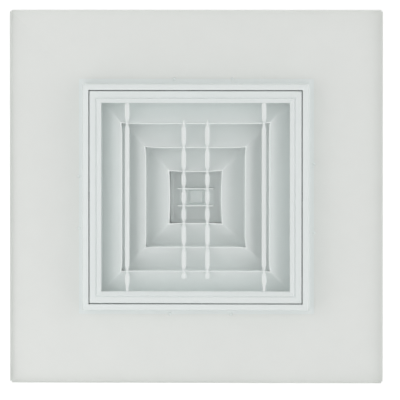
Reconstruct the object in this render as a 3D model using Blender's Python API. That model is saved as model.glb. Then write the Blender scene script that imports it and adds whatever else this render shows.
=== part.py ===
"""Square ceiling air outlet with four-way cones on a lay-in panel.

The outlet lies face down. Its room side is at z = 0 and its duct side is at the top. The middle
of the panel's face is the origin. "Half" sizes are distances from the middle to a side, because
every piece of the outlet is built on concentric squares.
"""
import math

import bmesh
import bpy
from mathutils import Matrix, Vector

# Overall sizes, in metres
OUTLET_HEIGHT = 0.042
FACE_CLEARANCE = 0.0008
SEAT_GAP = 0.0003

# Lay-in panel: a shallow tray of sheet with a square cut-out
PANEL_SIDE = 0.595
PANEL_SHEET = 0.001
PANEL_EDGE_HEIGHT = 0.012
PANEL_BEND_RADIUS = 0.002
PANEL_CORNER_SLIT = 0.0025

# Core frame: mitred rails with a bell mouth towards the room
NECK_HALF = 0.150
CORE_WALL = 0.0013
CORE_SLOPE_WIDTH = 0.0058
CORE_SLOPE_DROP = 0.0024
CORE_CREST_WIDTH = 0.0012
CORE_STEP_WIDTH = 0.0009
CORE_STEP_DROP = 0.0015
CORE_BAND_WIDTH = 0.0111
CORE_FLANGE_HEIGHT = 0.0125
CORE_NECK_DEPTH = 0.013
CORE_MOUTH_WIDTH = 0.0188
CORE_HALF = NECK_HALF + CORE_SLOPE_WIDTH + CORE_CREST_WIDTH + CORE_STEP_WIDTH + CORE_BAND_WIDTH
MITRE_GAP = 0.0003

# Collar: folded Z strips that stand on the panel round the core
CORE_SLOT = 0.0013
COLLAR_SHEET = 0.0012
COLLAR_RIM_WIDTH = 0.0097
COLLAR_RIM_TURN = 0.008
COLLAR_FOOT_WIDTH = 0.0075
COLLAR_BEND_RADIUS = 0.0025
COLLAR_RIM_HALF = CORE_HALF + CORE_SLOT
COLLAR_HALF = COLLAR_RIM_HALF + COLLAR_RIM_WIDTH
PANEL_CUTOUT_GAP = 0.0027
PANEL_CUTOUT_HALF = NECK_HALF + CORE_MOUTH_WIDTH + PANEL_CUTOUT_GAP

# Tacks that join the collar's feet to the panel, placed by hand along each side
TACK_RADIUS = 0.0028
TACK_HEIGHT = 0.0011
TACK_PLACES = {
    "front": (-0.042, 0.055),
    "right": (-0.058, 0.052),
    "back": (-0.057, 0.035),
    "left": (-0.032, 0.051),
}

# Cones: one-piece pressed squares, nested between the neck and the inner cone's throat
CONE_SHEET = 0.001
CONE_NECK_GAP = 0.0322
INNER_THROAT = 0.0414
CONE_FLARE_WIDTHS = {"outer": 0.0367, "middle": 0.0392, "inner": 0.0391}
CONE_STRAIGHT = 0.0065
CONE_THROAT_CORNER = 0.0013
CONE_EDGE_CORNER = 0.009
CONE_CORNER_PULL = 0.0022
CONE_PULL_LENGTHS = {"outer": 0.018, "middle": 0.018, "inner": 0.036}
CONE_PULL_DEPTH = 0.016

# Flare of the cones and the core frame: part of an ellipse, from steep at the throat to shallow at
# a nearly flat straight lip
FLARE_START = math.radians(40.0)
FLARE_END = math.radians(70.0)
FLARE_STEPS = 6
LIP_WIDTH = 0.0045
LIP_SLOPE = 0.16

# Centre plate: a square plate with an upswept rim, a little smaller than the inner cone's throat
PLATE_SHEET = 0.0012
PLATE_RIM_WIDTH = 0.0046
PLATE_INSET = 0.0010
PLATE_HALF = INNER_THROAT - PLATE_INSET
PLATE_RIM_RISE = 0.0022
PLATE_CORNER = 0.003

# Centre bracket: a folded U with a pressed boss in its base
BRACKET_SHEET = 0.0012
BRACKET_END_GAP = 0.0121
BRACKET_LENGTH = 2 * (INNER_THROAT - CONE_SHEET - BRACKET_END_GAP)
BRACKET_HALF = 0.0142
BRACKET_BEND_RADIUS = 0.002
BOSS_FOOT_X = 0.0288
BOSS_FOOT_Y = 0.0208
BOSS_TOP = 0.0155
BOSS_HEIGHT = 0.004

# Rods: round where they pass a wall, pressed flat in between. At the back the inner rods end in a
# round stub and the outer rods stay flat up to the neck. At the front the inner rods end in a
# flat bead behind the outer cone, and the outer rods are round for a short way before the neck.
ROD_DIAMETER = 0.005
ROD_FLAT_WIDTH = 0.008
ROD_FLAT_THICKNESS = 0.0031
ROD_ROUND_REACH = 0.0024
ROD_PRESS_LENGTH = 0.006
ROD_DEPTH = 0.0063
ROD_CHAMFER = 0.0006
ROD_HOLE_CLEARANCE = 0.0003
INNER_ROD_OFFSET = 0.0188
INNER_ROD_STUB = 0.0088
INNER_BEAD_START = 0.0044
INNER_BEAD_END = 0.0122
OUTER_ROD_INSET = 0.0088
OUTER_ROD_OVERHANG = 0.0035
OUTER_ROD_NARROW = 0.008
OUTER_ROD_STOP = 0.0004
OUTER_ROD_SHOULDER = 0.0008
ROD_SIDES = 12

# Corner keys and leaf clips, both hidden behind the core frame
KEY_SHEET = 0.0016
KEY_ARM = 0.030
KEY_INSET = 0.0005
CLIP_SHEET = 0.0008
CLIP_WIDTH = 0.015
CLIP_KINK_HEIGHT = 0.0075
CLIP_KINK_REACH = 0.005
CLIP_TIP_REACH = 0.0018

ROD_HEIGHT = OUTLET_HEIGHT - ROD_DEPTH
OUTER_THROAT = NECK_HALF - CONE_NECK_GAP
MIDDLE_THROAT = (OUTER_THROAT + INNER_THROAT) / 2
CONE_THROATS = {"outer": OUTER_THROAT, "middle": MIDDLE_THROAT, "inner": INNER_THROAT}
OUTER_ROD_OFFSET = OUTER_THROAT - OUTER_ROD_INSET
SIDES = {"front": -90.0, "right": 0.0, "back": 90.0, "left": 180.0}


def clear_scene():
    """Start from an empty scene."""
    for thing in list(bpy.data.objects):
        bpy.data.objects.remove(thing, do_unlink=True)


def paint(name, colour, roughness, metallic=0.0):
    """A plain surface finish."""
    material = bpy.data.materials.new(name)
    material.use_nodes = True
    shader = material.node_tree.nodes["Principled BSDF"]
    shader.inputs["Base Color"].default_value = (*colour, 1.0)
    shader.inputs["Roughness"].default_value = roughness
    shader.inputs["Metallic"].default_value = metallic
    return material


def loft(name, loops, material=None, closed=False):
    """Skin through loops of equal length: a closed ring of loops, or a body with two caps.

    A ring's skin is split into triangles, because the faces at its pulled corners aren't flat.
    """
    shape = bmesh.new()
    rows = [[shape.verts.new(point) for point in loop] for loop in loops]
    pairs = list(zip(rows, rows[1:]))
    if closed:
        pairs.append((rows[-1], rows[0]))
    count = len(rows[0])
    for lower, upper in pairs:
        for i in range(count):
            j = (i + 1) % count
            shape.faces.new((lower[i], lower[j], upper[j], upper[i]))
    if not closed:
        shape.faces.new(rows[0][::-1])
        shape.faces.new(rows[-1])
    if closed:
        bmesh.ops.triangulate(shape, faces=shape.faces)
    if shape.calc_volume(signed=True) < 0:
        bmesh.ops.reverse_faces(shape, faces=shape.faces)
    mesh = bpy.data.meshes.new(name)
    shape.to_mesh(mesh)
    shape.free()
    if material:
        mesh.materials.append(material)
    piece = bpy.data.objects.new(name, mesh)
    bpy.context.collection.objects.link(piece)
    return piece


def shade_round(piece, crease_degrees=30.0):
    """Smooth shading, with the folds left sharp."""
    piece.data.shade_smooth()
    piece.data.set_sharp_from_angle(angle=math.radians(crease_degrees))


def apply_cut(piece, cutter, operation="DIFFERENCE"):
    """Cut, or join, with a tool body, and remove the tool."""
    cutter.hide_render = True
    cutter.display_type = "WIRE"
    modifier = piece.modifiers.new("cut", "BOOLEAN")
    modifier.operation = operation
    modifier.solver = "EXACT"
    modifier.object = cutter
    bpy.context.view_layer.update()
    result = bpy.data.meshes.new_from_object(piece.evaluated_get(bpy.context.evaluated_depsgraph_get()))
    piece.modifiers.clear()
    piece.data = result
    bpy.data.objects.remove(cutter, do_unlink=True)


def thick_section(line, thickness):
    """Closed section of a sheet: the line and its offset, left of its run if positive."""
    points = [Vector(point) for point in line]
    runs = [(b - a).normalized() for a, b in zip(points, points[1:])]
    hidden = []
    for i, point in enumerate(points):
        before = runs[max(i - 1, 0)]
        after = runs[min(i, len(runs) - 1)]
        normal_before = Vector((-before.y, before.x))
        normal_after = Vector((-after.y, after.x))
        middle = (normal_before + normal_after).normalized()
        hidden.append(point + middle * thickness / middle.dot(normal_after))
    return [tuple(point) for point in points + hidden[::-1]]


def bend(corner, start, end, radius, steps=3):
    """Arc that rounds the corner between the directions of its two neighbours."""
    corner, start, end = Vector(corner), Vector(start), Vector(end)
    inward = (start - corner).normalized()
    outward = (end - corner).normalized()
    half_angle = inward.angle(outward) / 2
    setback = radius / math.tan(half_angle)
    centre = corner + (inward + outward).normalized() * radius / math.sin(half_angle)
    first = corner + inward * setback - centre
    turn = first.angle_signed(corner + outward * setback - centre)
    arc = []
    for i in range(steps + 1):
        spin = Matrix.Rotation(-turn * i / steps, 2)
        arc.append(tuple(centre + spin @ first))
    return arc


def flare(throat, edge, start_height, end_height):
    """Part of an ellipse that bends a throat outwards, down to the height where the lip starts."""
    width = (edge - throat) / (math.cos(FLARE_START) - math.cos(FLARE_END))
    drop = (start_height - end_height) / (math.sin(FLARE_END) - math.sin(FLARE_START))
    points = []
    for i in range(FLARE_STEPS + 1):
        angle = FLARE_START + (FLARE_END - FLARE_START) * i / FLARE_STEPS
        half = throat + width * (math.cos(FLARE_START) - math.cos(angle))
        points.append((half, start_height - drop * (math.sin(angle) - math.sin(FLARE_START))))
    return points


def square_loop(half, height):
    """Sharp-cornered square at one height."""
    corners = ((1, 1), (-1, 1), (-1, -1), (1, -1))
    return [(x * half, y * half, height) for x, y in corners]


def pressed_square_loop(half, height, radius, pull=0.0, pull_length=0.0, steps=3):
    """Square at one height with rounded corners, which a press may have pulled outwards."""
    straight = half - radius
    along = [straight - pull_length, straight - pull_length / 2] if pull_length else []
    corner = [Vector((half, distance)) for distance in along]
    for i in range(steps + 1):
        angle = math.pi / 2 * i / steps
        arm = Vector((math.cos(angle), math.sin(angle)))
        corner.append(Vector((straight, straight)) + arm * radius)
    corner += [Vector((distance, half)) for distance in reversed(along)]
    loop = []
    for quarter in range(4):
        spin = Matrix.Rotation(math.pi / 2 * quarter, 2)
        for point in corner:
            shift = 0.0
            if pull:
                near_x = max(0.0, 1 - (half - point.x) / pull_length)
                near_y = max(0.0, 1 - (half - point.y) / pull_length)
                shift = pull * (near_x * near_y) ** 2
            moved = spin @ (point + Vector((shift, shift)))
            loop.append((moved.x, moved.y, height))
    return loop


def mitred_rail(name, section, side, material):
    """Straight rail of one section along a side, with both ends cut at 45 degrees."""
    trim = MITRE_GAP / math.sqrt(2)
    ends = [[(half, sign * (half - trim), height) for half, height in section] for sign in (-1, 1)]
    rail = loft(name, ends, material)
    rail.data.transform(Matrix.Rotation(math.radians(SIDES[side]), 4, "Z"))
    return rail


def rod_cutter(name, offset, start, end):
    """Round tool along Y for the holes that a rod passes."""
    radius = ROD_DIAMETER / 2 + ROD_HOLE_CLEARANCE
    loops = [rod_loop(offset, y, radius * 2, radius * 2) for y in (start, end)]
    return loft(name, loops)


def rod_loop(offset, y, width, thickness):
    """Oval section of a rod at one place along Y."""
    loop = []
    for i in range(ROD_SIDES):
        angle = 2 * math.pi * (i + 0.5) / ROD_SIDES
        x = offset + math.cos(angle) * width / 2
        loop.append((x, y, ROD_HEIGHT + math.sin(angle) * thickness / 2))
    return loop


def block_tool(x_range, y_range, z_range):
    """Square-cornered tool body."""
    (x_low, x_high), (y_low, y_high) = x_range, y_range
    outline = ((x_low, y_low), (x_high, y_low), (x_high, y_high), (x_low, y_high))
    return loft("block_tool", [[(x, y, z) for x, y in outline] for z in z_range])


def make_panel():
    """Lay-in panel: a sheet tray with folded edges, slit corners and a square cut-out."""
    half = PANEL_SIDE / 2
    cut = PANEL_CUTOUT_HALF
    fold = bend((half, 0), (cut, 0), (half, PANEL_EDGE_HEIGHT), PANEL_BEND_RADIUS)
    line = [(cut, 0.0)] + fold + [(half, PANEL_EDGE_HEIGHT)]
    section = thick_section(line, PANEL_SHEET)
    loops = [square_loop(r, z) for r, z in section]
    panel = loft("ceiling_panel", loops, paint("white_panel_enamel", (0.74, 0.76, 0.73), 0.45), True)
    slit = (half - PANEL_CORNER_SLIT, half + PANEL_CORNER_SLIT)
    z_range = (-PANEL_SHEET, PANEL_EDGE_HEIGHT + PANEL_SHEET)
    for x_sign, y_sign in ((1, 1), (-1, 1), (-1, -1), (1, -1)):
        x_range = [x_sign * distance for distance in slit]
        y_range = [y_sign * distance for distance in slit]
        apply_cut(panel, block_tool(x_range, y_range, z_range))
    shade_round(panel)


def make_collar():
    """Z-section strips round the cut-out, tacked to the panel at two points each."""
    foot_top = PANEL_SHEET + SEAT_GAP + COLLAR_SHEET
    foot_edge = (COLLAR_HALF + COLLAR_FOOT_WIDTH, foot_top)
    heel = (COLLAR_HALF, foot_top)
    shoulder = (COLLAR_HALF, OUTLET_HEIGHT)
    rim_edge = (COLLAR_RIM_HALF, OUTLET_HEIGHT)
    turn_end = (COLLAR_RIM_HALF, OUTLET_HEIGHT - COLLAR_RIM_TURN)
    line = [foot_edge, heel]
    line += bend(shoulder, heel, rim_edge, COLLAR_BEND_RADIUS)
    line += [rim_edge, turn_end]
    section = thick_section(line, COLLAR_SHEET)
    enamel = paint("white_collar_enamel", (0.76, 0.78, 0.75), 0.42)
    for side, places in TACK_PLACES.items():
        rail = mitred_rail(f"collar_rail_{side}", section, side, enamel)
        for place in places:
            apply_cut(rail, tack(side, place, foot_edge), "UNION")
        shade_round(rail)


def tack(side, place, foot_edge):
    """Low dome of weld over the edge of a collar's foot."""
    half, foot_top = foot_edge
    bottom = foot_top - COLLAR_SHEET * 0.9
    levels = ((1.0, bottom), (1.0, foot_top), (0.8, foot_top + TACK_HEIGHT * 0.7))
    levels += ((0.4, foot_top + TACK_HEIGHT),)
    loops = []
    for share, height in levels:
        loop = []
        for i in range(12):
            angle = 2 * math.pi * i / 12
            x = half + math.cos(angle) * TACK_RADIUS * share
            loop.append((x, place + math.sin(angle) * TACK_RADIUS * share, height))
        loops.append(loop)
    dome = loft("tack_tool", loops)
    dome.data.transform(Matrix.Rotation(math.radians(SIDES[side]), 4, "Z"))
    return dome


def core_section():
    """Section of the core frame. Its hidden side runs straight under the crest, which is solid."""
    top = OUTLET_HEIGHT
    band = top - CORE_STEP_DROP
    step_half = CORE_HALF - CORE_BAND_WIDTH
    crest_half = step_half - CORE_STEP_WIDTH
    mouth_half = NECK_HALF + CORE_MOUTH_WIDTH
    lip_half = mouth_half - LIP_WIDTH
    lip_height = FACE_CLEARANCE + LIP_WIDTH * LIP_SLOPE
    flange = [(CORE_HALF, band - CORE_FLANGE_HEIGHT), (CORE_HALF, band)]
    crest = [(step_half, band), (crest_half, top), (crest_half - CORE_CREST_WIDTH, top)]
    throat = [(NECK_HALF, top - CORE_SLOPE_DROP)]
    throat += flare(NECK_HALF, lip_half, top - CORE_NECK_DEPTH, lip_height)
    throat.append((mouth_half, FACE_CLEARANCE))
    slope_share = 1 - CORE_STEP_DROP / CORE_SLOPE_DROP
    under_crest = (NECK_HALF + CORE_SLOPE_WIDTH * slope_share, band)
    plain_line = flange + [under_crest] + throat
    hidden_side = thick_section(plain_line, CORE_WALL)[len(plain_line):]
    return flange + crest + throat + hidden_side


def make_core_frame():
    """Four mitred rails. The front and back rails have holes for the outer rods' ends."""
    section = core_section()
    enamel = paint("white_core_enamel", (0.77, 0.79, 0.76), 0.40)
    for side in SIDES:
        rail = mitred_rail(f"core_rail_{side}", section, side, enamel)
        if side in ("front", "back"):
            sign = 1 if side == "back" else -1
            for offset in (-OUTER_ROD_OFFSET, OUTER_ROD_OFFSET):
                inside = sign * (NECK_HALF - CORE_SLOPE_WIDTH)
                outside = sign * (CORE_HALF - CORE_BAND_WIDTH + CORE_WALL)
                apply_cut(rail, rod_cutter("hole_tool", offset, inside, outside))
        shade_round(rail)


def cone_loops(throat, flare_width, pull_length):
    """Loops of one pressed cone: down its outer face and back up inside."""
    edge = throat + flare_width
    top = OUTLET_HEIGHT
    bottom = FACE_CLEARANCE + CONE_SHEET
    lip_half = edge - LIP_WIDTH
    lip_height = bottom + LIP_WIDTH * LIP_SLOPE
    line = [(throat, top)]
    line += flare(throat, lip_half, top - CONE_STRAIGHT, lip_height)
    line.append((edge, bottom))
    section = thick_section(line, -CONE_SHEET)
    count = len(line)
    loops = []
    for i, (half, height) in enumerate(section):
        outer_half, outer_height = line[i] if i < count else line[2 * count - 1 - i]
        share = (outer_half - throat) / flare_width
        radius = CONE_THROAT_CORNER + (CONE_EDGE_CORNER - CONE_THROAT_CORNER) * share
        radius -= outer_half - half
        pull = CONE_CORNER_PULL * max(0.0, 1 - (top - outer_height) / CONE_PULL_DEPTH) ** 2
        loops.append(pressed_square_loop(half, height, radius, pull, pull_length))
    return loops


def make_cones():
    """Three pressed cones with holes near their throats for the rods."""
    enamel = paint("white_cone_enamel", (0.76, 0.78, 0.76), 0.40)
    for name, throat in CONE_THROATS.items():
        loops = cone_loops(throat, CONE_FLARE_WIDTHS[name], CONE_PULL_LENGTHS[name])
        cone = loft(f"cone_{name}", loops, enamel, True)
        offsets = [-INNER_ROD_OFFSET, INNER_ROD_OFFSET]
        if name == "outer":
            offsets += [-OUTER_ROD_OFFSET, OUTER_ROD_OFFSET]
        for offset in offsets:
            reach = throat + CONE_STRAIGHT
            apply_cut(cone, rod_cutter("hole_tool", offset, -reach, reach))
        shade_round(cone)


def make_centre_plate():
    """Square plate with a rim that sweeps up towards the duct."""
    flat_top = FACE_CLEARANCE + PLATE_SHEET
    line = [(PLATE_HALF - PLATE_RIM_WIDTH, flat_top), (PLATE_HALF, flat_top + PLATE_RIM_RISE)]
    section = thick_section([(0.0, flat_top)] + line, -PLATE_SHEET)
    loops = []
    for half, height in section[1:-1]:
        loops.append(pressed_square_loop(half, height, PLATE_CORNER))
    plate = loft("centre_plate", loops, paint("white_plate_enamel", (0.74, 0.76, 0.74), 0.42))
    shade_round(plate, 20.0)


def make_centre_bracket():
    """Folded U bracket: its base lies on the centre plate and its legs hold the inner rods."""
    base = FACE_CLEARANCE + PLATE_SHEET + SEAT_GAP
    half, top = BRACKET_HALF, OUTLET_HEIGHT
    left_foot, right_foot = (-half, base), (half, base)
    line = [(-half, top)]
    line += bend(left_foot, (-half, top), right_foot, BRACKET_BEND_RADIUS)
    line += bend(right_foot, left_foot, (half, top), BRACKET_BEND_RADIUS)
    line.append((half, top))
    section = thick_section(line, BRACKET_SHEET)
    ends = [[(x, y, z) for y, z in section] for x in (-BRACKET_LENGTH / 2, BRACKET_LENGTH / 2)]
    bracket = loft("centre_bracket", ends, paint("white_bracket_enamel", (0.75, 0.77, 0.75), 0.42))
    floor = base + BRACKET_SHEET
    apply_cut(bracket, boss_tool(floor - BRACKET_SHEET / 2, floor, 0.0), "UNION")
    apply_cut(bracket, boss_tool(base - BRACKET_SHEET, base, BRACKET_SHEET))
    for offset in (-INNER_ROD_OFFSET, INNER_ROD_OFFSET):
        apply_cut(bracket, rod_cutter("hole_tool", offset, -half * 2, half * 2))
    shade_round(bracket)


def boss_tool(bottom, foot, inset):
    """Square boss with sloping sides, or the hollow under it."""
    foot_x, foot_y = BOSS_FOOT_X / 2 - inset, BOSS_FOOT_Y / 2 - inset
    top = BOSS_TOP / 2 - inset
    loops = []
    for x, y, z in ((foot_x, foot_y, bottom), (foot_x, foot_y, foot), (top, top, foot + BOSS_HEIGHT)):
        loops.append([(x, y, z), (-x, y, z), (-x, -y, z), (x, -y, z)])
    return loft("boss_tool", loops)


def rod_stations(walls):
    """Places along a rod with how flat it is there: 0 is round, beside each wall, and 1 is flat."""
    stations = []
    for wall in walls:
        near, far = ROD_ROUND_REACH, ROD_ROUND_REACH + ROD_PRESS_LENGTH
        stations += [(wall - far, 1), (wall - near, 0), (wall + near, 0), (wall + far, 1)]
    return stations


def rod_size(flatness, trim=0.0):
    """Width and thickness of a rod, less a chamfer's trim."""
    width = ROD_DIAMETER + (ROD_FLAT_WIDTH - ROD_DIAMETER) * flatness
    thickness = ROD_DIAMETER + (ROD_FLAT_THICKNESS - ROD_DIAMETER) * flatness
    return width - trim * 2, thickness - trim * 2


def make_rod(name, offset, stations, material):
    """Rod lofted through its stations, with a chamfer at both ends."""
    (start, start_flatness), (end, end_flatness) = stations[0], stations[-1]
    loops = [rod_loop(offset, start, *rod_size(start_flatness, ROD_CHAMFER))]
    loops.append(rod_loop(offset, start + ROD_CHAMFER, *rod_size(start_flatness)))
    for y, flatness in stations[1:-1]:
        loops.append(rod_loop(offset, y, *rod_size(flatness)))
    loops.append(rod_loop(offset, end - ROD_CHAMFER, *rod_size(end_flatness)))
    loops.append(rod_loop(offset, end, *rod_size(end_flatness, ROD_CHAMFER)))
    shade_round(loft(name, loops, material), 40.0)


def make_rods():
    """Two inner rods through every cone and the bracket, and two outer rods held in the neck."""
    enamel = paint("white_rod_enamel", (0.82, 0.83, 0.81), 0.35)
    throats = [throat - CONE_SHEET / 2 for throat in sorted(CONE_THROATS.values())]
    inner_half = [BRACKET_HALF - BRACKET_SHEET / 2] + throats
    inner_walls = [-wall for wall in reversed(inner_half)] + inner_half
    outer_throat = throats[-1]
    inner_stations = [(-outer_throat - INNER_BEAD_END, 1), (-outer_throat - INNER_BEAD_START, 1)]
    inner_stations += rod_stations(inner_walls)[1:-1]
    inner_stations.append((outer_throat + INNER_ROD_STUB, 0))
    end = NECK_HALF + CORE_WALL + OUTER_ROD_OVERHANG
    narrow = NECK_HALF - OUTER_ROD_NARROW
    stop = NECK_HALF - OUTER_ROD_STOP
    outer_stations = [(-end, 0), (-narrow, 0), (-narrow + ROD_PRESS_LENGTH, 1)]
    outer_stations += rod_stations([-outer_throat, outer_throat])
    outer_stations += [(stop - OUTER_ROD_SHOULDER, 1), (stop, 0), (end, 0)]
    for side, sign in (("left", -1), ("right", 1)):
        make_rod(f"inner_rod_{side}", sign * INNER_ROD_OFFSET, inner_stations, enamel)
        make_rod(f"outer_rod_{side}", sign * OUTER_ROD_OFFSET, outer_stations, enamel)


def make_corner_keys():
    """L-shaped keys under the core frame's band, one at each mitre."""
    steel = paint("zinc_key", (0.56, 0.57, 0.58), 0.38, 1.0)
    band = OUTLET_HEIGHT - CORE_STEP_DROP
    top = band - CORE_WALL - SEAT_GAP
    outer = CORE_HALF - CORE_WALL - SEAT_GAP
    inner = CORE_HALF - CORE_BAND_WIDTH + KEY_INSET
    end = outer - KEY_ARM
    outline = ((outer, outer), (end, outer), (end, inner), (inner, inner), (inner, end), (outer, end))
    corners = (("back_right", 0), ("back_left", 90), ("front_left", 180), ("front_right", 270))
    for name, degrees in corners:
        loops = [[(x, y, z) for x, y in outline] for z in (top - KEY_SHEET, top)]
        key = loft(f"corner_key_{name}", loops, steel)
        key.data.transform(Matrix.Rotation(math.radians(degrees), 4, "Z"))


def make_core_clips():
    """Leaf springs behind the core frame that snap over the edge of the panel's cut-out."""
    steel = paint("spring_steel", (0.50, 0.50, 0.51), 0.30, 1.0)
    band = OUTLET_HEIGHT - CORE_STEP_DROP
    leaf = CORE_HALF - CORE_WALL - SEAT_GAP
    leaf_top = band - CORE_WALL - KEY_SHEET
    knee = band - CORE_FLANGE_HEIGHT - CORE_WALL
    kink = (PANEL_CUTOUT_HALF + CLIP_KINK_REACH, CLIP_KINK_HEIGHT)
    tip = (PANEL_CUTOUT_HALF + CLIP_TIP_REACH, PANEL_SHEET + SEAT_GAP)
    line = [(leaf, leaf_top), (leaf, knee), kink, tip]
    section = thick_section(line, -CLIP_SHEET)
    for side, degrees in SIDES.items():
        ends = [[(r, y, z) for r, z in section] for y in (-CLIP_WIDTH / 2, CLIP_WIDTH / 2)]
        clip = loft(f"core_clip_{side}", ends, steel)
        clip.data.transform(Matrix.Rotation(math.radians(degrees), 4, "Z"))


clear_scene()
make_panel()
make_collar()
make_core_frame()
make_cones()
make_centre_plate()
make_centre_bracket()
make_rods()
make_corner_keys()
make_core_clips()
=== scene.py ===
"""Looks of a square ceiling air outlet that lies face down, seen from its duct side.

The sections follow the outlet as it is put together: the lay-in panel, the collar tacked to it,
and the core with its frame, cones, centre plate, bracket and rods. Sizes are in metres. A "half"
size is the distance from the outlet's middle to a side, because every piece is built on squares.
"""
import math

import bmesh
import bpy
from mathutils import Matrix, Vector


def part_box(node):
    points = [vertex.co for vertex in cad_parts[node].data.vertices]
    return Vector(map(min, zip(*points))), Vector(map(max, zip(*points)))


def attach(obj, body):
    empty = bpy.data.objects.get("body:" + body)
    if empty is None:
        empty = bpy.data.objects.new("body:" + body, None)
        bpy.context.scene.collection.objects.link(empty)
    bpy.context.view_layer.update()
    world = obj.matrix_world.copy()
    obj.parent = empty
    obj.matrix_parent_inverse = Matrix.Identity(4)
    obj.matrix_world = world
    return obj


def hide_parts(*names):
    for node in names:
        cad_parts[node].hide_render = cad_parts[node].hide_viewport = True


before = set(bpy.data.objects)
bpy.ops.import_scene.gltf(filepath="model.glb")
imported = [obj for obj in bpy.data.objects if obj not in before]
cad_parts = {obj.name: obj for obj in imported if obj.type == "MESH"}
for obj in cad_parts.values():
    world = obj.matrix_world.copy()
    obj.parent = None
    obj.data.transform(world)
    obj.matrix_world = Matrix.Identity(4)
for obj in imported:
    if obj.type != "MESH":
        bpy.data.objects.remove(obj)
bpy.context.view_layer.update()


# Lay-in panel
# One sheet of steel with a square cut-out. Its four edges are folded up on a press brake, with
# small notches at the corners, and the whole sheet has a satin white powder coat.
SHEET_THICKNESS = 0.001
PANEL_FOLD_RADIUS = 0.002
PANEL_CUTOUT_HALF = 0.1715
PANEL_NOTCH = 0.0025
FOLD_STEPS = 6
CREASE = math.radians(35.0)
PANEL_HEX = "#EAECE9"
PANEL_ROUGHNESS = 0.46
PANEL_WAVE_HEIGHT = 0.0006
# The bumps of the coat's orange peel are 2.2 mm apart and its clouds 45 mm wide. The waves that
# rolling leaves in the sheet are 110 mm long.
ORANGE_PEEL = 0.0022
PEEL_HEIGHT = 0.00008
PEEL_STRENGTH = 0.35
COAT_CLOUD = 0.045
CLOUD_SHADE = 0.955
CLOUD_GLOSS = 0.05
SHEET_WAVE = 0.110
COAT_IOR = 1.5


def linear(hex_colour):
    """Linear colour from an sRGB hex value."""
    channels = [int(hex_colour[i:i + 2], 16) / 255 for i in (1, 3, 5)]
    bright = [c / 12.92 if c <= 0.04045 else ((c + 0.055) / 1.055) ** 2.4 for c in channels]
    return (*bright, 1.0)


def add(tree, kind, settings, links):
    """Adds a node with its settings, and its inputs linked from other sockets."""
    node = tree.nodes.new(kind)
    for name, value in settings.items():
        if name in node.inputs:
            node.inputs[name].default_value = value
        else:
            setattr(node, name, value)
    for name, source in links.items():
        tree.links.new(source, node.inputs[name])
    return node


def powder_coat(name, hex_colour, roughness, wave_height):
    """Satin powder coat: fine orange peel, faint clouds in its thickness, and the sheet's waves."""
    material = bpy.data.materials.new(name)
    material.use_nodes = True
    tree = material.node_tree
    shader = tree.nodes["Principled BSDF"]
    shader.inputs["IOR"].default_value = COAT_IOR
    place = add(tree, "ShaderNodeTexCoord", {}, {}).outputs["Object"]
    cloud = add(tree, "ShaderNodeTexNoise",
                {"Scale": 1 / COAT_CLOUD, "Detail": 4.0, "Roughness": 0.6}, {"Vector": place})
    peel = add(tree, "ShaderNodeTexNoise", {"Scale": 1 / ORANGE_PEEL, "Detail": 2.0},
               {"Vector": place})
    wave = add(tree, "ShaderNodeTexNoise", {"Scale": 1 / SHEET_WAVE, "Detail": 1.0},
               {"Vector": place})
    bright = linear(hex_colour)
    dark = [channel * CLOUD_SHADE for channel in bright[:3]]
    tone = add(tree, "ShaderNodeMix", {"data_type": "RGBA"}, {"Factor": cloud.outputs["Fac"]})
    tone.inputs["A"].default_value = (*dark, 1.0)
    tone.inputs["B"].default_value = bright
    gloss = add(tree, "ShaderNodeMapRange",
                {"To Min": roughness - CLOUD_GLOSS, "To Max": roughness + CLOUD_GLOSS},
                {"Value": cloud.outputs["Fac"]})
    waves = add(tree, "ShaderNodeBump", {"Strength": 1.0, "Distance": wave_height},
                {"Height": wave.outputs["Fac"]})
    skin = add(tree, "ShaderNodeBump", {"Strength": PEEL_STRENGTH, "Distance": PEEL_HEIGHT},
               {"Height": peel.outputs["Fac"], "Normal": waves.outputs["Normal"]})
    tree.links.new(tone.outputs["Result"], shader.inputs["Base Color"])
    tree.links.new(gloss.outputs["Result"], shader.inputs["Roughness"])
    tree.links.new(skin.outputs["Normal"], shader.inputs["Normal"])
    return material


def new_body(name, shape):
    """Object from a bmesh, which is freed."""
    mesh = bpy.data.meshes.new(name)
    shape.to_mesh(mesh)
    shape.free()
    body = bpy.data.objects.new(name, mesh)
    bpy.context.scene.collection.objects.link(body)
    return body


def new_piece(name, shape, material):
    """Finished object from a bmesh, smooth apart from its creases."""
    piece = new_body(name, shape)
    piece.data.materials.append(material)
    piece.data.shade_smooth()
    piece.data.set_sharp_from_angle(angle=CREASE)
    return piece


def wire_profile(shape, points, closed=False):
    """Edges through points given as half size and height, in the plane y = 0."""
    verts = [shape.verts.new((half, 0.0, height)) for half, height in points]
    ends = verts[1:] + verts[:1] if closed else verts[1:]
    for vert, following in zip(verts, ends):
        shape.edges.new((vert, following))
    return verts


def round_folds(shape, verts, setback):
    """Turns corners of a wire into arcs that start at a setback from each corner."""
    bmesh.ops.bevel(shape, geom=verts, offset=setback, segments=FOLD_STEPS, profile=0.5,
                    affect="VERTICES", material=-1)


def square_spin(shape):
    """Swings a profile to the corner at x = y and spins it in four steps, which makes a square."""
    for vert in shape.verts:
        vert.co.y = vert.co.x
    bmesh.ops.spin(shape, geom=shape.edges[:], cent=(0, 0, 0), axis=(0, 0, 1), dvec=(0, 0, 0),
                   angle=2 * math.pi, steps=4, use_merge=True)
    bmesh.ops.remove_doubles(shape, verts=shape.verts[:], dist=1e-6)


def thicken(shape, thickness):
    """Gives a sheet its wall."""
    bmesh.ops.recalc_face_normals(shape, faces=shape.faces[:])
    bmesh.ops.solidify(shape, geom=shape.faces[:], thickness=thickness)
    bmesh.ops.recalc_face_normals(shape, faces=shape.faces[:])


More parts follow.
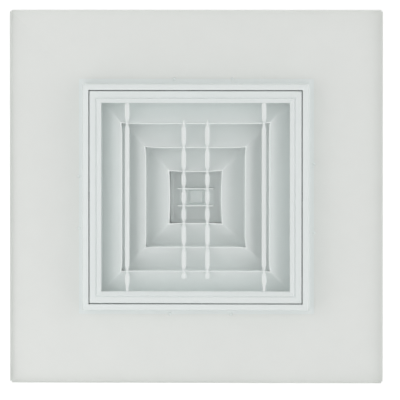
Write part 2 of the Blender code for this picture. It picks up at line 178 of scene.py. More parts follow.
def boolean(piece, tool, operation="DIFFERENCE"):
    """Cuts or joins a piece with a tool body, which is then removed."""
    modifier = piece.modifiers.new("tool", "BOOLEAN")
    modifier.operation = operation
    modifier.solver = "EXACT"
    modifier.object = tool
    bpy.context.view_layer.update()
    shown = piece.evaluated_get(bpy.context.evaluated_depsgraph_get())
    result = bpy.data.meshes.new_from_object(shown)
    piece.modifiers.clear()
    piece.data = result
    bpy.data.objects.remove(tool, do_unlink=True)


def notch_block(x_range, y_range, z_range):
    """Square-cornered tool body that cuts a notch."""
    shape = bmesh.new()
    low, high = (Vector(corner) for corner in zip(x_range, y_range, z_range))
    size = high - low
    place = Matrix.Translation((low + high) / 2) @ Matrix.Diagonal((*size, 1.0))
    bmesh.ops.create_cube(shape, size=1.0, matrix=place)
    return new_body("notch_block", shape)


panel_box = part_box("ceiling_panel")
panel_half = panel_box[1].x
panel_edge_height = panel_box[1].z
panel_shape = bmesh.new()
panel_profile = wire_profile(panel_shape, ((PANEL_CUTOUT_HALF, 0.0), (panel_half, 0.0),
                                           (panel_half, panel_edge_height)))
edge_fold = panel_profile[1]
round_folds(panel_shape, [edge_fold], PANEL_FOLD_RADIUS)
square_spin(panel_shape)
thicken(panel_shape, SHEET_THICKNESS)
# A warm, dull white. The wide flat sheet shows its slow waves and the coat's faint clouds.
panel_coat = powder_coat("satin_powder_coat_on_steel_panel", PANEL_HEX, PANEL_ROUGHNESS,
                         PANEL_WAVE_HEIGHT)
panel = new_piece("panel_sheet", panel_shape, panel_coat)
notch = (panel_half - PANEL_NOTCH, panel_half + PANEL_NOTCH)
for x_sign, y_sign in ((1, 1), (-1, 1), (-1, -1), (1, -1)):
    x_range = sorted(x_sign * distance for distance in notch)
    y_range = sorted(y_sign * distance for distance in notch)
    boolean(panel, notch_block(x_range, y_range, (-SHEET_THICKNESS, panel_edge_height * 2)))
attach(panel, "root")
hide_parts("ceiling_panel")


# Collar
# Four Z-shaped strips of folded steel stand round the cut-out and are mitred at the corners. Their
# feet are tacked to the panel at two points each, and their rims turn down towards the core.
COLLAR_THICKNESS = 0.0012
COLLAR_HALF = 0.1800
COLLAR_FOOT_HALF = 0.1875
COLLAR_RIM_HALF = 0.1703
COLLAR_RIM_TURN = 0.008
COLLAR_FOLD_RADIUS = 0.0025
COLLAR_SMALL_RADIUS = 0.0015
COLLAR_FOOT_TOP = 0.0025
MITRE_GAP = 0.00004
TACK_RADIUS = 0.0028
TACK_HEIGHT = 0.0012
TACK_DEPTH = COLLAR_THICKNESS * 0.9
TACK_INSET = 0.0003
TACK_PLACES = {
    "front": (-0.042, 0.055),
    "right": (-0.058, 0.052),
    "back": (-0.057, 0.035),
    "left": (-0.032, 0.051),
}
SIDE_ANGLES = {"front": -90.0, "right": 0.0, "back": 90.0, "left": 180.0}
COLLAR_HEX = "#EAEFEE"
COLLAR_ROUGHNESS = 0.43
COLLAR_WAVE_HEIGHT = 0.0002


def saw_off(shape, centre, normal):
    """Cuts a shape at a plane, drops the side that the normal points to, and closes the cut."""
    geometry = shape.verts[:] + shape.edges[:] + shape.faces[:]
    cut = bmesh.ops.bisect_plane(shape, geom=geometry, plane_co=centre, plane_no=normal,
                                 clear_outer=True)
    edges = [item for item in cut["geom_cut"] if isinstance(item, bmesh.types.BMEdge)]
    bmesh.ops.holes_fill(shape, edges=edges, sides=0)


def mitred_side(ring, side):
    """One side of a square ring, sawn off at both mitres."""
    rail = ring.copy()
    turn = Matrix.Rotation(math.radians(SIDE_ANGLES[side]), 3, "Z")
    for slant in (1, -1):
        normal = turn @ Vector((-1, slant, 0)).normalized()
        saw_off(rail, -normal * MITRE_GAP / 2, normal)
    bmesh.ops.recalc_face_normals(rail, faces=rail.faces[:])
    return rail


def tack_weld(side, place):
    """Low round bead over the edge of a foot."""
    shape = bmesh.new()
    bottom = COLLAR_FOOT_TOP - TACK_DEPTH
    centre = Matrix.Translation((COLLAR_FOOT_HALF - TACK_INSET, place, bottom))
    size = Matrix.Diagonal((TACK_RADIUS, TACK_RADIUS, TACK_DEPTH + TACK_HEIGHT, 1.0))
    turn = Matrix.Rotation(math.radians(SIDE_ANGLES[side]), 4, "Z")
    bmesh.ops.create_uvsphere(shape, u_segments=20, v_segments=12, radius=1.0,
                              matrix=turn @ centre @ size)
    saw_off(shape, Vector((0, 0, bottom)), Vector((0, 0, -1)))
    return new_body("tack", shape)


outlet_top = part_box("collar_rail_right")[1].z
collar_ring = bmesh.new()
collar_profile = wire_profile(collar_ring, ((COLLAR_FOOT_HALF, COLLAR_FOOT_TOP),
                                            (COLLAR_HALF, COLLAR_FOOT_TOP),
                                            (COLLAR_HALF, outlet_top),
                                            (COLLAR_RIM_HALF, outlet_top),
                                            (COLLAR_RIM_HALF, outlet_top - COLLAR_RIM_TURN)))
foot_fold, shoulder_fold, rim_fold = collar_profile[1:4]
round_folds(collar_ring, [shoulder_fold], COLLAR_FOLD_RADIUS)
round_folds(collar_ring, [foot_fold, rim_fold], COLLAR_SMALL_RADIUS)
square_spin(collar_ring)
thicken(collar_ring, COLLAR_THICKNESS)
# A little cooler and smoother than the panel, with an even sheen along its narrow faces.
collar_coat = powder_coat("satin_powder_coat_on_folded_strip", COLLAR_HEX, COLLAR_ROUGHNESS,
                          COLLAR_WAVE_HEIGHT)
for side, places in TACK_PLACES.items():
    strip = new_piece(f"collar_strip_{side}", mitred_side(collar_ring, side), collar_coat)
    for place in places:
        boolean(strip, tack_weld(side, place), "UNION")
    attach(strip, "root")
    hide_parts(f"collar_rail_{side}")
collar_ring.free()


# Core frame
# Four mitred rails of one moulded section: a flange and a flat band outside, a fine groove, a small
# crest, a slope down to the neck, and a bell mouth that opens towards the room.
NECK_HALF = 0.150
CORE_HALF = 0.1690
CORE_BAND_WIDTH = 0.0111
CORE_STEP_WIDTH = 0.0009
CORE_STEP_DROP = 0.0015
CORE_GROOVE_WIDTH = 0.0013
CORE_GROOVE_FLOOR = CORE_GROOVE_WIDTH * 0.8
CORE_GROOVE_DEPTH = 0.0009
CORE_CREST_WIDTH = 0.0012
CORE_SLOPE_WIDTH = 0.0058
CORE_SLOPE_DROP = 0.0024
CORE_FLANGE_HEIGHT = 0.0125
CORE_NECK_DEPTH = 0.013
CORE_MOUTH_WIDTH = 0.0188
CORE_WALL = 0.0013
CORE_SHOULDER_RADIUS = 0.0014
CORE_CREST_RADIUS = 0.00056
ROD_HOLE_RADIUS = 0.0028
FLARE_START = math.radians(40.0)
FLARE_TURN = math.radians(70.0)
FLARE_STEPS = 28
LIP_WIDTH = 0.0045
LIP_SLOPE = 0.16
CORE_HEX = "#E9EEED"
CORE_ROUGHNESS = 0.40
CORE_WAVE_HEIGHT = 0.0001


def flare(throat, edge, start_height, end_height):
    """Elliptical arc from a straight throat out to a flat edge."""
    width = (edge - throat) / (math.cos(FLARE_START) - math.cos(FLARE_TURN))
    drop = (start_height - end_height) / (math.sin(FLARE_TURN) - math.sin(FLARE_START))
    arc = []
    for i in range(FLARE_STEPS + 1):
        angle = FLARE_START + (FLARE_TURN - FLARE_START) * i / FLARE_STEPS
        half = throat + width * (math.cos(FLARE_START) - math.cos(angle))
        arc.append((half, start_height - drop * (math.sin(angle) - math.sin(FLARE_START))))
    return arc


def wall_behind(line, thickness):
    """The line's offset, which is the hidden face of its wall, from its end back to its start."""
    points = [Vector(point) for point in line]
    runs = [(b - a).normalized() for a, b in zip(points, points[1:])]
    hidden = []
    for i, point in enumerate(points):
        before, after = runs[max(i - 1, 0)], runs[min(i, len(runs) - 1)]
        middle = (before + after).normalized()
        normal = Vector((-middle.y, middle.x))
        hidden.append(point + normal * thickness / normal.dot(Vector((-after.y, after.x))))
    return [tuple(point) for point in reversed(hidden)]


def drill(piece, x, z, half_length):
    """Cuts a round hole along Y through a piece."""
    shape = bmesh.new()
    place = Matrix.Translation((x, 0, z)) @ Matrix.Rotation(math.pi / 2, 4, "X")
    bmesh.ops.create_cone(shape, cap_ends=True, segments=24, radius1=ROD_HOLE_RADIUS,
                          radius2=ROD_HOLE_RADIUS, depth=half_length * 2, matrix=place)
    boolean(piece, new_body("drill", shape))


def rod_centre(name):
    """Where a rod lies across its length: its x and z."""
    low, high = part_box(name)
    return (low.x + high.x) / 2, (low.z + high.z) / 2


face_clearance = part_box("core_rail_right")[0].z
core_mouth_half = NECK_HALF + CORE_MOUTH_WIDTH
band_height = outlet_top - CORE_STEP_DROP
step_half = CORE_HALF - CORE_BAND_WIDTH
crest_half = step_half - CORE_STEP_WIDTH
flange_line = [(CORE_HALF, band_height - CORE_FLANGE_HEIGHT), (CORE_HALF, band_height)]
groove_bottom = band_height - CORE_GROOVE_DEPTH
groove_line = [(step_half + CORE_GROOVE_WIDTH, band_height),
               (step_half + CORE_GROOVE_FLOOR, groove_bottom), (step_half, groove_bottom)]
crest_line = [(crest_half, outlet_top), (crest_half - CORE_CREST_WIDTH, outlet_top)]
throat_line = [(NECK_HALF, outlet_top - CORE_SLOPE_DROP)]
throat_line += flare(NECK_HALF, core_mouth_half - LIP_WIDTH, outlet_top - CORE_NECK_DEPTH,
                     face_clearance + LIP_WIDTH * LIP_SLOPE)
throat_line.append((core_mouth_half, face_clearance))
slope_share = 1 - CORE_STEP_DROP / CORE_SLOPE_DROP
under_crest = (NECK_HALF + CORE_SLOPE_WIDTH * slope_share, band_height)
hidden_line = wall_behind(flange_line + [under_crest] + throat_line, CORE_WALL)
core_ring = bmesh.new()
shown_line = flange_line + groove_line + crest_line + throat_line
core_profile = wire_profile(core_ring, shown_line + hidden_line, closed=True)
shoulder = len(flange_line) - 1
crest = len(flange_line + groove_line)
neck = len(flange_line + groove_line + crest_line)
round_folds(core_ring, [core_profile[shoulder]], CORE_SHOULDER_RADIUS)
round_folds(core_ring, core_profile[crest:neck + 1], CORE_CREST_RADIUS)
square_spin(core_ring)
bmesh.ops.recalc_face_normals(core_ring, faces=core_ring.faces[:])
# As cool as the collar and a little glossier, so that the groove and the crest show as fine lines.
core_coat = powder_coat("satin_powder_coat_on_core_frame", CORE_HEX, CORE_ROUGHNESS,
                        CORE_WAVE_HEIGHT)
for side in SIDE_ANGLES:
    rail = new_piece(f"core_frame_{side}", mitred_side(core_ring, side), core_coat)
    if side in ("front", "back"):
        for rod in ("outer_rod_left", "outer_rod_right"):
            drill(rail, *rod_centre(rod), core_mouth_half)
    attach(rail, "root")
    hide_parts(f"core_rail_{side}")
core_ring.free()


# Cones
# Three thin sheets, each pressed in one piece: a straight throat that flares out to a nearly flat
# edge. The press pulled the sheet outwards at the corners of the throat.
CONE_THICKNESS = 0.001
CONE_FLARE_WIDTHS = {"outer": 0.0367, "middle": 0.0392, "inner": 0.0391}
CONE_PULL_LENGTHS = {"outer": 0.018, "middle": 0.018, "inner": 0.036}
CONE_STRAIGHT = 0.0065
CONE_THROAT_CORNER = 0.0013
CONE_EDGE_CORNER = 0.007
CONE_CORNER_PULL = 0.0022
CONE_PULL_DEPTH = 0.016
CORNER_STEPS = 8
CONE_SIDE_CUTS = 40
# The cones, plate and bracket share the panel's white painted paler: painted light for the core's
# deep shade.
DEEP_PARTS_LIGHTENED_HEX = "#F5F9F8"
CONE_ROUGHNESS = 0.42
CONE_WAVE_HEIGHT = 0.0002


def rounded_square(shape, half, height, corner, side_cuts):
    """Ring of edges: a circle whose quarters are pushed out to the corners of a square."""
    half_step = math.pi / (4 * CORNER_STEPS)
    place = Matrix.Translation((0, 0, height)) @ Matrix.Rotation(half_step, 4, "Z")
    before = set(shape.edges)
    circle = bmesh.ops.create_circle(shape, segments=4 * CORNER_STEPS, matrix=place,
                                     radius=corner / math.cos(half_step))
    for vert in circle["verts"]:
        vert.co.x += math.copysign(half - corner, vert.co.x)
        vert.co.y += math.copysign(half - corner, vert.co.y)
    ring = [edge for edge in shape.edges if edge not in before]
    if side_cuts:
        # The four straight sides are the longest edges.
        sides = sorted(ring, key=lambda edge: edge.calc_length())[-4:]
        bmesh.ops.subdivide_edges(shape, edges=sides, cuts=side_cuts)
    return [edge for edge in shape.edges if edge not in before]


def pull_corners(ring, half, pull, length):
    """Bows a ring outwards towards its corners."""
    for vert in {vert for edge in ring for vert in edge.verts}:
        near_x = max(0.0, 1 - (half - abs(vert.co.x)) / length)
        near_y = max(0.0, 1 - (half - abs(vert.co.y)) / length)
        shift = pull * (near_x * near_y) ** 2
        vert.co.x += math.copysign(shift, vert.co.x)
        vert.co.y += math.copysign(shift, vert.co.y)


def bridge_rings(shape, rings):
    """Skins the gaps between each ring and the next."""
    for ring, following in zip(rings, rings[1:]):
        bmesh.ops.bridge_loops(shape, edges=ring + following)


# The palest coat: the panel's same white, painted paler as painted light for the deep, shaded core.
# Light passes from cone to cone, and keeps the deep gaps a soft, cool grey.
cone_coat = powder_coat("lightened_powder_coat_on_pressed_cone", DEEP_PARTS_LIGHTENED_HEX, CONE_ROUGHNESS,
                        CONE_WAVE_HEIGHT)
for name, flare_width in CONE_FLARE_WIDTHS.items():
    low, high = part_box(f"cone_{name}")
    edge_half, cone_top = high.x, high.z
    throat_half = edge_half - flare_width
    edge_height = low.z + CONE_THICKNESS
    cone_line = [(throat_half, cone_top), (throat_half, cone_top - CONE_STRAIGHT / 2)]
    cone_line += flare(throat_half, edge_half - LIP_WIDTH, cone_top - CONE_STRAIGHT,
                       edge_height + LIP_WIDTH * LIP_SLOPE)
    cone_line.append((edge_half, edge_height))
    cone_shape = bmesh.new()
    rings = []
    for half, height in cone_line + wall_behind(cone_line, -CONE_THICKNESS):
        share = (half - throat_half) / flare_width
        corner = CONE_THROAT_CORNER + (CONE_EDGE_CORNER - CONE_THROAT_CORNER) * share
        ring = rounded_square(cone_shape, half, height, corner, CONE_SIDE_CUTS)
        pull = CONE_CORNER_PULL * max(0.0, 1 - (cone_top - height) / CONE_PULL_DEPTH) ** 2
        pull_corners(ring, half, pull, CONE_PULL_LENGTHS[name])
        rings.append(ring)
    bridge_rings(cone_shape, rings + rings[:1])
    bmesh.ops.recalc_face_normals(cone_shape, faces=cone_shape.faces[:])
    cone = new_piece(f"pressed_cone_{name}", cone_shape, cone_coat)
    rods = ["inner_rod_left", "inner_rod_right"]
    if name == "outer":
        rods += ["outer_rod_left", "outer_rod_right"]
    for rod in rods:
        drill(cone, *rod_centre(rod), throat_half + CONE_STRAIGHT)
    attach(cone, "root")
    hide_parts(f"cone_{name}")


# Centre plate
# A small square plate, pressed from sheet, with a rim that sweeps up towards the duct.
PLATE_THICKNESS = 0.0012
PLATE_RIM_WIDTH = 0.0046
PLATE_BEND_REACH = 0.0012
PLATE_BEND_STEPS = 4
PLATE_CORNER = 0.003
PLATE_MIDDLE_HALF = 0.001

plate_low, plate_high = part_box("centre_plate")
plate_half = plate_high.x
plate_top = plate_low.z + PLATE_THICKNESS
rim_start = Vector((plate_half - PLATE_RIM_WIDTH, plate_top))
rim_end = Vector((plate_half, plate_high.z))
rim_run = (rim_end - rim_start).normalized()
plate_line = [(PLATE_MIDDLE_HALF, plate_top), (rim_start.x - PLATE_BEND_REACH, plate_top)]
for step in range(1, PLATE_BEND_STEPS):
    share = step / PLATE_BEND_STEPS
    before = rim_start - Vector((PLATE_BEND_REACH * (1 - share), 0))
    after = rim_start + rim_run * PLATE_BEND_REACH * share
    plate_line.append(tuple(before.lerp(after, share)))
plate_line += [tuple(rim_start + rim_run * PLATE_BEND_REACH), tuple(rim_end)]
plate_shape = bmesh.new()
plate_rings = []
for half, height in plate_line + wall_behind(plate_line, -PLATE_THICKNESS):
    # The wall's far face leans out past the rim, so it is trimmed flush with the edge.
    trimmed = min(half, plate_half)
    corner = min(PLATE_CORNER, half / 2)
    plate_rings.append(rounded_square(plate_shape, trimmed, height, corner, side_cuts=0))
bridge_rings(plate_shape, plate_rings)
for ring in (plate_rings[0], plate_rings[-1]):
    bmesh.ops.holes_fill(plate_shape, edges=ring, sides=0)
bmesh.ops.recalc_face_normals(plate_shape, faces=plate_shape.faces[:])
# The cones' white, painted paler than the panel's as painted light, and in the cones' shade.
plate_coat = powder_coat("lightened_powder_coat_on_centre_plate", DEEP_PARTS_LIGHTENED_HEX, CONE_ROUGHNESS,
                         CONE_WAVE_HEIGHT)
plate = new_piece("centre_plate_sheet", plate_shape, plate_coat)
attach(plate, "root")
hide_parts("centre_plate")


# Centre bracket
# A U of folded sheet with a square boss pressed into its base. The inner rods run through its two
# legs and carry the centre plate.
BRACKET_THICKNESS = 0.0012
BRACKET_FOLD_RADIUS = 0.002
BOSS_FOOT = (0.0272, 0.0208)
BOSS_TOP = 0.0176
BOSS_HEIGHT = 0.0035
BRACKET_WAVE_HEIGHT = 0.0001

bracket_low, bracket_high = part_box("centre_bracket")
bracket_shape = bmesh.new()
bracket_profile = [bracket_shape.verts.new((bracket_low.x, y, z)) for y, z in (
    (bracket_low.y, bracket_high.z), (bracket_low.y, bracket_low.z),
    (bracket_high.y, bracket_low.z), (bracket_high.y, bracket_high.z))]
for vert, following in zip(bracket_profile, bracket_profile[1:]):
    bracket_shape.edges.new((vert, following))
round_folds(bracket_shape, bracket_profile[1:3], BRACKET_FOLD_RADIUS)
swept = bmesh.ops.extrude_edge_only(bracket_shape, edges=bracket_shape.edges[:])
swept_verts = [item for item in swept["geom"] if isinstance(item, bmesh.types.BMVert)]
bmesh.ops.translate(bracket_shape, verts=swept_verts, vec=(bracket_high.x - bracket_low.x, 0, 0))
for axis, size in enumerate(BOSS_FOOT):
    for sign in (-1, 1):
        centre, normal = Vector((0, 0, 0)), Vector((0, 0, 0))
        centre[axis], normal[axis] = sign * size / 2, 1.0
        geometry = bracket_shape.verts[:] + bracket_shape.edges[:] + bracket_shape.faces[:]
        bmesh.ops.bisect_plane(bracket_shape, geom=geometry, plane_co=centre, plane_no=normal)
base = min(bracket_shape.faces, key=lambda face: face.calc_center_median().length)
raised = bmesh.ops.extrude_face_region(bracket_shape, geom=[base])
raised_verts = [item for item in raised["geom"] if isinstance(item, bmesh.types.BMVert)]
bmesh.ops.translate(bracket_shape, verts=raised_verts, vec=(0, 0, BOSS_HEIGHT))
bmesh.ops.scale(bracket_shape, verts=raised_verts,
                vec=(BOSS_TOP / BOSS_FOOT[0], BOSS_TOP / BOSS_FOOT[1], 1.0))
bmesh.ops.delete(bracket_shape, geom=[base] if base.is_valid else [], context="FACES")
thicken(bracket_shape, BRACKET_THICKNESS)
# The cones' white, painted paler as painted light, on a small sheet too small to show any wave but
# its folds.
bracket_coat = powder_coat("lightened_powder_coat_on_bracket", DEEP_PARTS_LIGHTENED_HEX, CONE_ROUGHNESS,
                           BRACKET_WAVE_HEIGHT)
bracket = new_piece("rod_bracket", bracket_shape, bracket_coat)
for rod in ("inner_rod_left", "inner_rod_right"):
    drill(bracket, *rod_centre(rod), bracket_high.y * 2)
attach(bracket, "root")
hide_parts("centre_bracket")


# Rods
# Round bars that carry the cones. Each is left round where it passes a wall and is pressed flat
# beside it, so that the cones can't slide along it.
ROD_DIAMETER = 0.005
ROD_FLAT_WIDTH = 0.0078
ROD_FLAT_THICKNESS = 0.0031
ROD_ROUND_REACH = 0.0022
ROD_PRESS_LENGTH = 0.0062
INNER_BEAD_START = 0.0044
INNER_BACK_TRIM = 0.0040
OUTER_ROD_NARROW = 0.008
OUTER_ROD_STOP = 0.0004
OUTER_ROD_SHOULDER = 0.0008
ROD_STEP = 0.0007
ROD_SIDES = 24
ROD_END_CHAMFER = 0.0007
ROD_HEX = "#ECF0EF"
ROD_ROUGHNESS = 0.36
ROD_WAVE_HEIGHT = 0.00005


def rod_stations(walls):
    """Places along a rod with how flat it is there: 0 is round, beside each wall, and 1 is flat."""
    near, far = ROD_ROUND_REACH, ROD_ROUND_REACH + ROD_PRESS_LENGTH
    stations = []
    for wall in walls:
        stations += [(wall - far, 1.0), (wall - near, 0.0), (wall + near, 0.0), (wall + far, 1.0)]
    return stations


def rod_flatness(stations, y):
    """Flatness at one place, eased between the stations on both sides of it."""
    for (start, before), (end, after) in zip(stations, stations[1:]):
        if start <= y <= end:
            share = (y - start) / (end - start)
            return before + (after - before) * share * share * (3 - 2 * share)
    return stations[0][1] if y < stations[0][0] else stations[-1][1]


def press_rod(shape, x, z, low, high, stations):
    """Bar along Y whose round section is spread and squeezed where it is flat."""
    place = Matrix.Translation((x, (low + high) / 2, z)) @ Matrix.Rotation(math.pi / 2, 4, "X")
    bmesh.ops.create_cone(shape, cap_ends=True, segments=ROD_SIDES, radius1=ROD_DIAMETER / 2,
                          radius2=ROD_DIAMETER / 2, depth=high - low, matrix=place)
    caps = [face for face in shape.faces if len(face.verts) == ROD_SIDES]
    rims = {edge for face in caps for edge in face.edges}
    bmesh.ops.bevel(shape, geom=list(rims), offset=ROD_END_CHAMFER, segments=2, profile=0.5,
                    affect="EDGES", material=-1)
    long_edges = [edge for edge in shape.edges if edge.calc_length() > (high - low) / 2]
    cuts = round((high - low) / ROD_STEP)
    bmesh.ops.subdivide_edges(shape, edges=long_edges, cuts=cuts, use_grid_fill=True)
    for vert in shape.verts:
        flatness = rod_flatness(stations, vert.co.y)
        spread = 1 + (ROD_FLAT_WIDTH / ROD_DIAMETER - 1) * flatness
        half_thickness = (ROD_DIAMETER + (ROD_FLAT_THICKNESS - ROD_DIAMETER) * flatness) / 2
        vert.co.x = x + (vert.co.x - x) * spread
        vert.co.z = z + max(-half_thickness, min(half_thickness, vert.co.z - z))


# The glossiest coat, so that each rod catches a bright line, wider where it is pressed flat.
rod_coat = powder_coat("satin_powder_coat_on_pressed_rod", ROD_HEX, ROD_ROUGHNESS,
                       ROD_WAVE_HEIGHT)
throat_walls = []
for name, flare_width in CONE_FLARE_WIDTHS.items():
    throat_walls.append(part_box(f"cone_{name}")[1].x - flare_width - CONE_THICKNESS / 2)
outer_wall = max(throat_walls)
passed_halves = [bracket_high.y - BRACKET_THICKNESS / 2, *sorted(throat_walls)]
passed_walls = [-wall for wall in reversed(passed_halves)] + passed_halves
inner_stations = [(-outer_wall - INNER_BEAD_START, 1.0)] + rod_stations(passed_walls)[1:-1]
narrow, stop = NECK_HALF - OUTER_ROD_NARROW, NECK_HALF - OUTER_ROD_STOP
outer_stations = [(-narrow, 0.0), (-narrow + ROD_PRESS_LENGTH, 1.0)]
outer_stations += rod_stations([-outer_wall, outer_wall])
outer_stations += [(stop - OUTER_ROD_SHOULDER, 1.0), (stop, 0.0)]
rod_kinds = (("inner", inner_stations, INNER_BACK_TRIM), ("outer", outer_stations, 0.0))
for kind, stations, trim in rod_kinds:
    for side in ("left", "right"):
        node = f"{kind}_rod_{side}"
        low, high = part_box(node)
        rod_shape = bmesh.new()
        press_rod(rod_shape, *rod_centre(node), low.y, high.y - trim, stations)
        bmesh.ops.recalc_face_normals(rod_shape, faces=rod_shape.faces[:])
        rod = new_piece(f"pressed_rod_{kind}_{side}", rod_shape, rod_coat)
        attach(rod, "root")
        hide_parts(node)


# Corner keys and leaf clips
# Hidden steel: zinc-plated keys join the core frame's mitres. Leaf clips of spring strip, with a
# dull zinc flake coat, hold the core in the cut-out.
# Zinc's crystals are 6 mm wide. The flakes are far too fine to show, so they are drawn 2 mm wide.
ZINC_HEX = "#B4B8BA"
ZINC_ROUGHNESS = 0.38
ZINC_SPANGLE = 0.006
FLAKE_HEX = "#D3D6D6"
FLAKE_ROUGHNESS = 0.55
FLAKE_GRAIN = 0.002
FLAKE_METALLIC = 0.3
CELL_SHADE = 0.8
CELL_SMOOTHER = 0.06
CELL_ROUGHER = 0.08


def zinc_finish(name, hex_colour, roughness, grain, metallic):
    """Zinc on steel, with its faint crystals or flakes."""
    material = bpy.data.materials.new(name)
    material.use_nodes = True
    tree = material.node_tree
    shader = tree.nodes["Principled BSDF"]
    shader.inputs["Metallic"].default_value = metallic
    place = add(tree, "ShaderNodeTexCoord", {}, {}).outputs["Object"]
    cells = add(tree, "ShaderNodeTexVoronoi", {"Scale": 1 / grain}, {"Vector": place})
    bright = linear(hex_colour)
    tone = add(tree, "ShaderNodeMix", {"data_type": "RGBA"}, {"Factor": cells.outputs["Distance"]})
    tone.inputs["A"].default_value = bright
    tone.inputs["B"].default_value = (*[channel * CELL_SHADE for channel in bright[:3]], 1.0)
    gloss = add(tree, "ShaderNodeMapRange",
                {"To Min": roughness - CELL_SMOOTHER, "To Max": roughness + CELL_ROUGHER},
                {"Value": cells.outputs["Distance"]})
    tree.links.new(tone.outputs["Result"], shader.inputs["Base Color"])
    tree.links.new(gloss.outputs["Result"], shader.inputs["Roughness"])
    return material


# Plating is plain metal: bright and grey by turns, with faint crystals.
zinc = zinc_finish("zinc_plated_steel", ZINC_HEX, ZINC_ROUGHNESS, ZINC_SPANGLE, 1.0)
# Flakes in a binder: a pale, dull silver grey that hardly reflects.
spring = zinc_finish("zinc_flake_coated_spring_steel", FLAKE_HEX, FLAKE_ROUGHNESS, FLAKE_GRAIN,
                     FLAKE_METALLIC)
for name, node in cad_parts.items():
    if name.startswith("corner_key"):
        node.data.materials.clear()
        node.data.materials.append(zinc)
    if name.startswith("core_clip"):
        node.data.materials.clear()
        node.data.materials.append(spring)


# Floor
# A plain white ground. Round the outlet it shines a little for the camera, so that it stays white
# where nothing shades it. It still takes the outlet's shadow, and it is in plain shade beneath.
FLOOR_SIZE = 12.0
FLOOR_DROP = 0.0004
FLOOR_GLOW = 0.45
FLOOR_HEX = "#E6E6E6"
FLOOR_ROUGHNESS = 0.9
COVERED_SHARE = 0.97


def ground_paint(name):
    """Matt white ground."""
    material = bpy.data.materials.new(name)
    material.use_nodes = True
    shader = material.node_tree.nodes["Principled BSDF"]
    shader.inputs["Base Color"].default_value = linear(FLOOR_HEX)
    shader.inputs["Roughness"].default_value = FLOOR_ROUGHNESS
    return material


covered_ground = ground_paint("ground_under_the_outlet")
open_ground = ground_paint("white_ground")
open_tree = open_ground.node_tree
open_shader = open_tree.nodes["Principled BSDF"]
open_shader.inputs["Emission Color"].default_value = (1.0, 1.0, 1.0, 1.0)
ray = add(open_tree, "ShaderNodeLightPath", {}, {})
seen = add(open_tree, "ShaderNodeMath", {"operation": "MAXIMUM"}, {})
open_tree.links.new(ray.outputs["Is Camera Ray"], seen.inputs[0])
open_tree.links.new(ray.outputs["Is Glossy Ray"], seen.inputs[1])
glow = add(open_tree, "ShaderNodeMath", {"operation": "MULTIPLY"}, {})
open_tree.links.new(seen.outputs[0], glow.inputs[0])
glow.inputs[1].default_value = FLOOR_GLOW
open_tree.links.new(glow.outputs[0], open_shader.inputs["Emission Strength"])

floor_shape = bmesh.new()
bmesh.ops.create_grid(floor_shape, x_segments=1, y_segments=1, size=FLOOR_SIZE / 2,
                      matrix=Matrix.Translation((0, 0, -FLOOR_DROP)))
covered = floor_shape.faces[:]
border = FLOOR_SIZE / 2 - panel_half * COVERED_SHARE
bmesh.ops.inset_region(floor_shape, faces=covered, thickness=border, use_boundary=True,
                       use_even_offset=True)
for face in covered:
    face.material_index = 1
floor = new_piece("floor", floor_shape, open_ground)
floor.data.materials.append(covered_ground)


# Light
# A pale sky, a large soft box straight above, and three rings of soft boxes, even all round with
# more at the right and left. Two smaller ones stand near and give the flat sheet its slight
# gradient. Angles are in degrees.
SKY_STRENGTH = 0.33
BOX_SIZE = 1.9
BOX_DISTANCE = 3.0
TOP_LEVEL = 0.038
LOW_RING = {"elevation": 12.0, "even": 0.056, "right": 0.026, "left": 0.0}
MIDDLE_RING = {"elevation": 35.0, "even": 0.0, "right": 0.086, "left": 0.051}
HIGH_RING = {"elevation": 60.0, "even": 0.0, "right": 0.037, "left": 0.059}
RING_STEP = 45
LEAST_LEVEL = 0.001
NEAR_SIZE = 0.8
NEAR_DISTANCE = 1.3
FRONT_LEFT_BOX = {"azimuth": 225.0, "elevation": 35.0, "level": 0.052}
LEFT_BOX = {"azimuth": 180.0, "elevation": 60.0, "level": 0.035}


def soft_box(azimuth, elevation, level, size, distance):
    """Round soft box that faces the outlet. At level 1 a white sheet square to it renders white."""
    lamp = bpy.data.lights.new("soft_box", "AREA")
    lamp.shape = "DISK"
    lamp.size = size
    lamp.energy = level * (math.pi * distance) ** 2
    holder = bpy.data.objects.new("soft_box", lamp)
    up, around = math.radians(elevation), math.radians(azimuth)
    flat = Vector((math.cos(around), math.sin(around), 0.0))
    holder.location = distance * (flat * math.cos(up) + Vector((0, 0, math.sin(up))))
    holder.rotation_euler = holder.location.to_track_quat("Z", "Y").to_euler()
    bpy.context.scene.collection.objects.link(holder)


world = bpy.data.worlds.new("pale_sky")
world.use_nodes = True
sky_tree = world.node_tree
sky_ray = add(sky_tree, "ShaderNodeLightPath", {}, {})
sky_seen = add(sky_tree, "ShaderNodeMath", {"operation": "MAXIMUM"}, {})
sky_tree.links.new(sky_ray.outputs["Is Camera Ray"], sky_seen.inputs[0])
sky_tree.links.new(sky_ray.outputs["Is Glossy Ray"], sky_seen.inputs[1])
sky_level = add(sky_tree, "ShaderNodeMapRange", {"To Min": SKY_STRENGTH, "To Max": 1.0},
                {"Value": sky_seen.outputs[0]})
sky = sky_tree.nodes["Background"]
sky.inputs["Color"].default_value = (1.0, 1.0, 1.0, 1.0)
sky_tree.links.new(sky_level.outputs["Result"], sky.inputs["Strength"])
bpy.context.scene.world = world

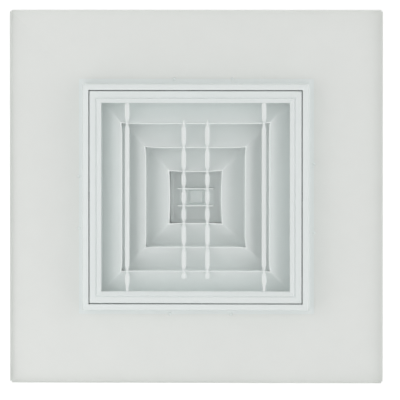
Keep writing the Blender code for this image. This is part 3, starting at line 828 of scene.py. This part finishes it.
soft_box(0.0, 90.0, TOP_LEVEL, BOX_SIZE, BOX_DISTANCE)
for ring in (LOW_RING, MIDDLE_RING, HIGH_RING):
    for azimuth in range(0, 360, RING_STEP):
        to_right = math.cos(math.radians(azimuth))
        added = ring["right"] * max(0.0, to_right) + ring["left"] * max(0.0, -to_right)
        level = ring["even"] + added
        if level > LEAST_LEVEL:
            soft_box(azimuth, ring["elevation"], level, BOX_SIZE, BOX_DISTANCE)
for near in (FRONT_LEFT_BOX, LEFT_BOX):
    soft_box(near["azimuth"], near["elevation"], near["level"], NEAR_SIZE, NEAR_DISTANCE)


# Camera
# Nearly straight above the outlet, a touch to its right and to its back, and far enough away for
# nearly parallel lines. The pixel that the outlet's middle falls on sets the framing.
CAMERA_DISTANCE = 12.0
SENSOR_WIDTH = 36.0
CAMERA_LEAN_RIGHT = math.radians(2.1)
CAMERA_LEAN_BACK = math.radians(2.1)
PIXEL_SIZE = 0.001595
IMAGE_SIZE = 400
PANEL_CENTRE_PIXEL = (196.42, 196.40)
WALL_BOUNCES = 8

camera_data = bpy.data.cameras.new("camera")
camera_data.sensor_width = SENSOR_WIDTH
field = PIXEL_SIZE * IMAGE_SIZE
camera_data.lens = SENSOR_WIDTH * CAMERA_DISTANCE / field
camera_data.clip_end = 100.0
camera = bpy.data.objects.new("camera", camera_data)
middle = IMAGE_SIZE / 2
target = Vector(((middle - PANEL_CENTRE_PIXEL[0]) * PIXEL_SIZE,
                 (PANEL_CENTRE_PIXEL[1] - middle) * PIXEL_SIZE, 0.0))
camera.rotation_euler = (-CAMERA_LEAN_BACK, CAMERA_LEAN_RIGHT, 0.0)
camera.location = target + camera.rotation_euler.to_matrix() @ Vector((0, 0, CAMERA_DISTANCE))
bpy.context.scene.collection.objects.link(camera)
bpy.context.scene.camera = camera
bpy.context.scene.view_settings.view_transform = "Standard"
# Light bounces many times between the cones' white walls. Fewer bounces leave them too dark.
bpy.context.scene.cycles.diffuse_bounces = WALL_BOUNCES
